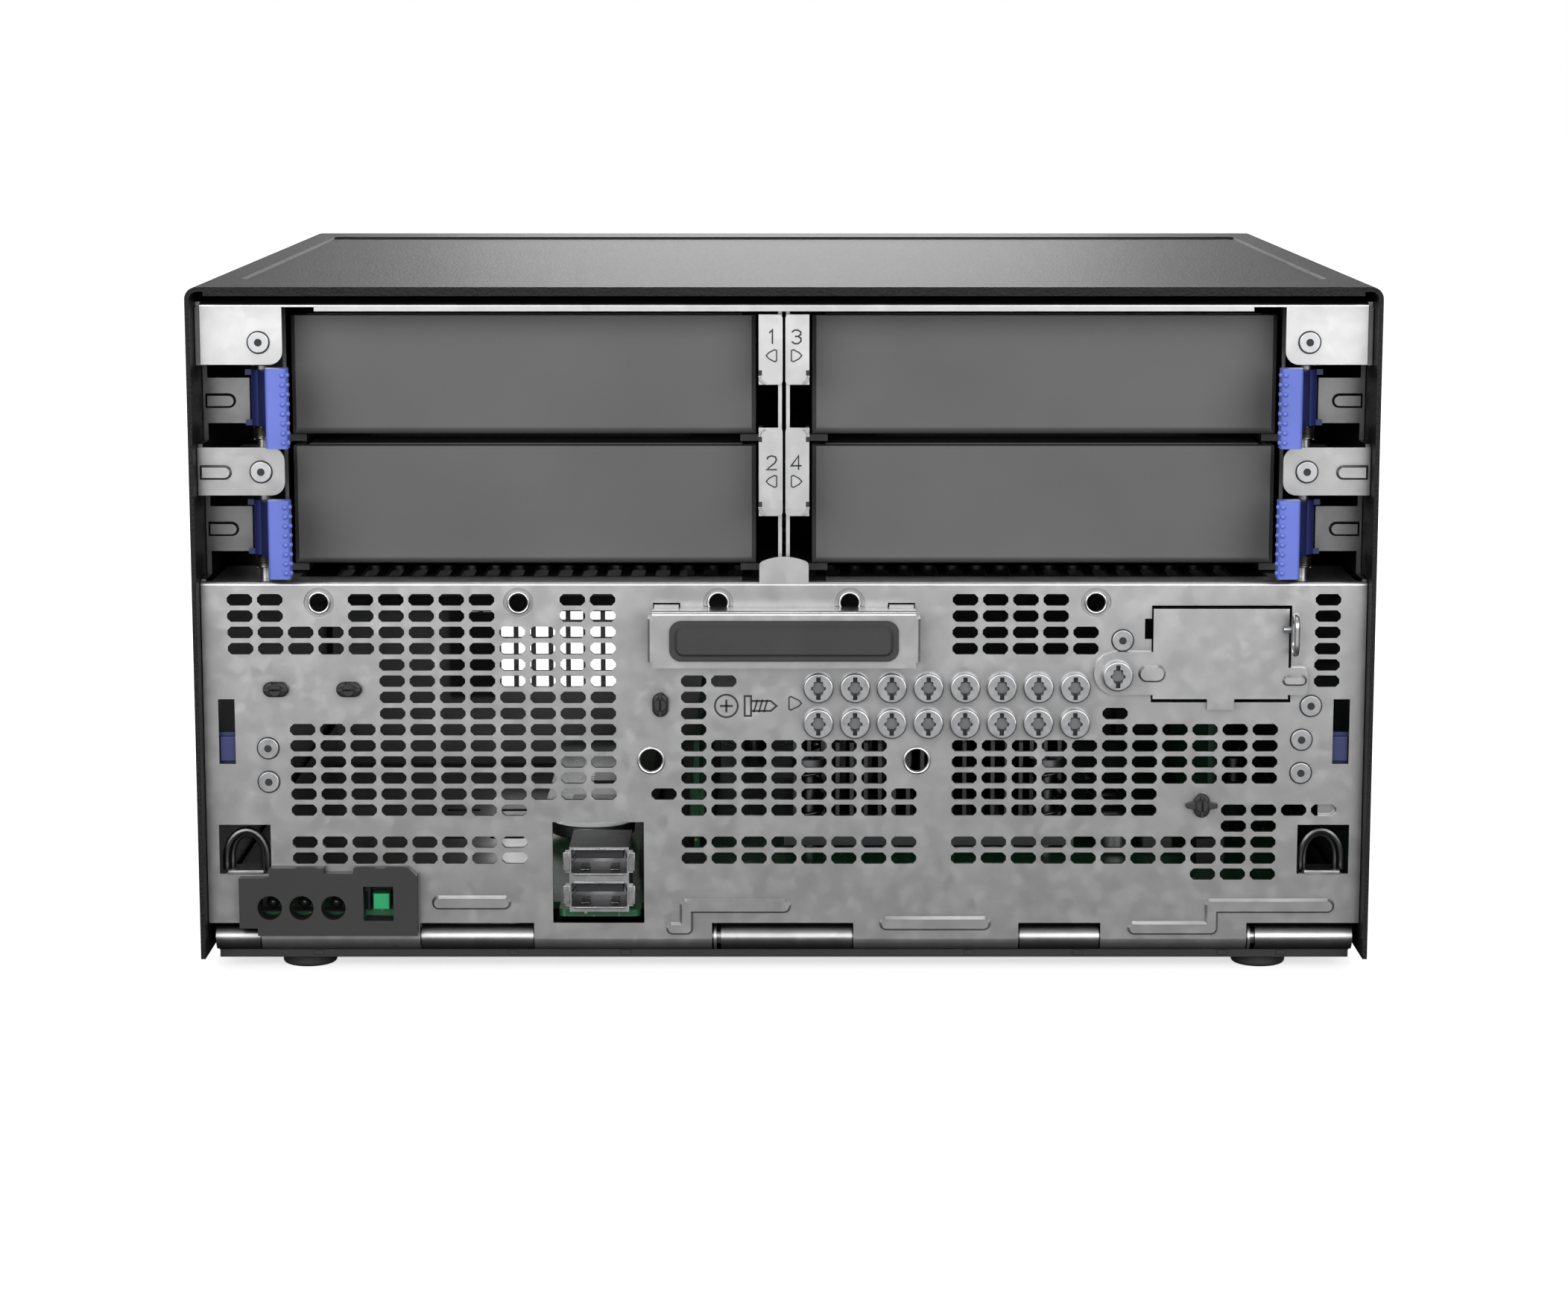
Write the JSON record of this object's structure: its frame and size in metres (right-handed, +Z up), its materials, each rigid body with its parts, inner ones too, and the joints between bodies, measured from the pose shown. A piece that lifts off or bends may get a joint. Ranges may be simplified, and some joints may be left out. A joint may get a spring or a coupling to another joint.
{
  "type": "network attached storage",
  "caption": "Compact network storage box with a slide-off cover, a tipping drive frame with latched drive bays, a vented front panel, fan and system board, shown with its bezel off.",
  "frame": {"origin": "on the surface it stands on, under the middle of the whole object", "axes": "+Z up, -Y towards the front with the drives, +X to the right seen from the front"},
  "size_m": [0.256, 0.23, 0.1515],
  "materials": {
    "galvanised_steel": "galvanised, fine spangle, satin",
    "cover_black": "textured powder coat",
    "plated_steel": "zinc plated",
    "spring_steel": "drawn wire",
    "foot_rubber": "matt",
    "circuit_board": "solder mask, semi-gloss",
    "black_plastic": "moulded, matt",
    "housing_plastic": "moulded, fine grain",
    "port_shell": "tin plated",
    "sink_aluminium": "anodised",
    "processor_package": "matt",
    "drive_grey": "die-cast, satin grey",
    "latch_blue": "moulded, satin",
    "button_green": "moulded, satin"
  },
  "bodies": {
    "base": {"base_pan": "galvanised_steel", "rear_io_wall": "galvanised_steel", "hinge_rod": "plated_steel", "feet": "foot_rubber", "system_board": "circuit_board", "processor": "processor_package", "heat_sink": "sink_aluminium", "sink_screws": "plated_steel", "sink_springs": "spring_steel", "memory_module": "circuit_board", "board_sockets": "black_plastic", "riser_board": "circuit_board", "rear_ports": "port_shell", "power_inlet": "black_plastic", "usb_front_stack": "plated_steel"},
    "frame": {"front_panel": "galvanised_steel", "panel_folds": "galvanised_steel", "cage_left_side": "galvanised_steel", "cage_right_side": "galvanised_steel", "cage_top": "galvanised_steel", "cage_shelf": "galvanised_steel", "divider_left": "galvanised_steel", "divider_right": "galvanised_steel", "bay_wall_left": "galvanised_steel", "bay_wall_right": "galvanised_steel", "drive_rails": "black_plastic", "frame_rear_wall": "galvanised_steel", "backplane_board": "circuit_board", "drive_connectors": "black_plastic", "fan_frame": "black_plastic", "fan_screws": "plated_steel", "panel_rivets": "plated_steel", "snap_clips": "black_plastic", "grip_bracket": "galvanised_steel", "grip_pad": "foot_rubber", "spare_screws": "plated_steel", "led_housing": "housing_plastic", "led_board": "circuit_board", "button_switch": "black_plastic", "latch_brackets": "galvanised_steel", "latch_pins": "plated_steel", "latch_springs": "spring_steel"},
    "cover": {"cover_shell": "cover_black"},
    "thumb_screw_left": {"thumb_screw_left": "plated_steel"},
    "thumb_screw_right": {"thumb_screw_right": "plated_steel"},
    "fan_rotor": {"fan_rotor": "black_plastic"},
    "power_button": {"power_button": "button_green"},
    "release_left": {"frame_latch_left": "latch_blue"},
    "release_right": {"frame_latch_right": "latch_blue"},
    "access_cover": {"access_plate": "galvanised_steel", "access_screw": "plated_steel", "pull_loop": "plated_steel"},
    "drive_1": {"drive_1": "drive_grey"},
    "latch_1": {"latch_1": "latch_blue"},
    "drive_2": {"drive_2": "drive_grey"},
    "latch_2": {"latch_2": "latch_blue"},
    "drive_3": {"drive_3": "drive_grey"},
    "latch_3": {"latch_3": "latch_blue"},
    "drive_4": {"drive_4": "drive_grey"},
    "latch_4": {"latch_4": "latch_blue"}
  },
  "joints": [
    {"name": "frame_tip", "type": "hinge", "parent": "base", "child": "frame", "pos_m": [0, -0.10415, 0.0077], "axis": [1, 0, 0], "range_deg": [0, 86]},
    {"name": "cover_slide", "type": "slide", "parent": "frame", "child": "cover", "axis": [0, 1, 0], "range_m": [0, 0.235]},
    {"name": "thumb_screw_left_turn", "type": "hinge", "parent": "cover", "child": "thumb_screw_left", "pos_m": [-0.11, 0.11, 0.1408], "axis": [0, 1, 0], "continuous": true},
    {"name": "thumb_screw_right_turn", "type": "hinge", "parent": "cover", "child": "thumb_screw_right", "pos_m": [0.11, 0.11, 0.1408], "axis": [0, 1, 0], "continuous": true},
    {"name": "fan_spin", "type": "hinge", "parent": "frame", "child": "fan_rotor", "pos_m": [0.02, 0.094, 0.0989], "axis": [0, 1, 0], "continuous": true},
    {"name": "power_button_press", "type": "slide", "parent": "frame", "child": "power_button", "axis": [0, 1, 0], "range_m": [0, 0.0008], "stiffness_N_per_m": 600},
    {"name": "release_left_lift", "type": "slide", "parent": "frame", "child": "release_left", "axis": [0, 0, 1], "range_m": [0, 0.007], "stiffness_N_per_m": 150},
    {"name": "release_right_lift", "type": "slide", "parent": "frame", "child": "release_right", "axis": [0, 0, 1], "range_m": [0, 0.007], "stiffness_N_per_m": 150},
    {"name": "access_cover_lift", "type": "slide", "parent": "frame", "child": "access_cover", "axis": [0, -1, 0], "range_m": [0, 0.06]},
    {"name": "drive_1_slide", "type": "slide", "parent": "frame", "child": "drive_1", "axis": [0, -1, 0], "range_m": [0, 0.072]},
    {"name": "drive_2_slide", "type": "slide", "parent": "frame", "child": "drive_2", "axis": [0, -1, 0], "range_m": [0, 0.072]},
    {"name": "drive_3_slide", "type": "slide", "parent": "frame", "child": "drive_3", "axis": [0, -1, 0], "range_m": [0, 0.072]},
    {"name": "drive_4_slide", "type": "slide", "parent": "frame", "child": "drive_4", "axis": [0, -1, 0], "range_m": [0, 0.072]},
    {"name": "latch_1_swing", "type": "hinge", "parent": "frame", "child": "latch_1", "pos_m": [-0.1135, -0.1, 0.1243], "axis": [0, 0, -1], "range_deg": [0, 70]},
    {"name": "latch_2_swing", "type": "hinge", "parent": "frame", "child": "latch_2", "pos_m": [-0.1135, -0.1, 0.0973], "axis": [0, 0, -1], "range_deg": [0, 70]},
    {"name": "latch_3_swing", "type": "hinge", "parent": "frame", "child": "latch_3", "pos_m": [0.1135, -0.1, 0.1243], "axis": [0, 0, 1], "range_deg": [0, 70]},
    {"name": "latch_4_swing", "type": "hinge", "parent": "frame", "child": "latch_4", "pos_m": [0.1135, -0.1, 0.0973], "axis": [0, 0, 1], "range_deg": [0, 70]}
  ],
  "couplings": [
    {"joint": "latch_1_swing", "follows": "drive_1_slide", "rad_per_m": 16.484},
    {"joint": "latch_2_swing", "follows": "drive_2_slide", "rad_per_m": 16.484},
    {"joint": "latch_3_swing", "follows": "drive_3_slide", "rad_per_m": 16.484},
    {"joint": "latch_4_swing", "follows": "drive_4_slide", "rad_per_m": 16.484}
  ]
}
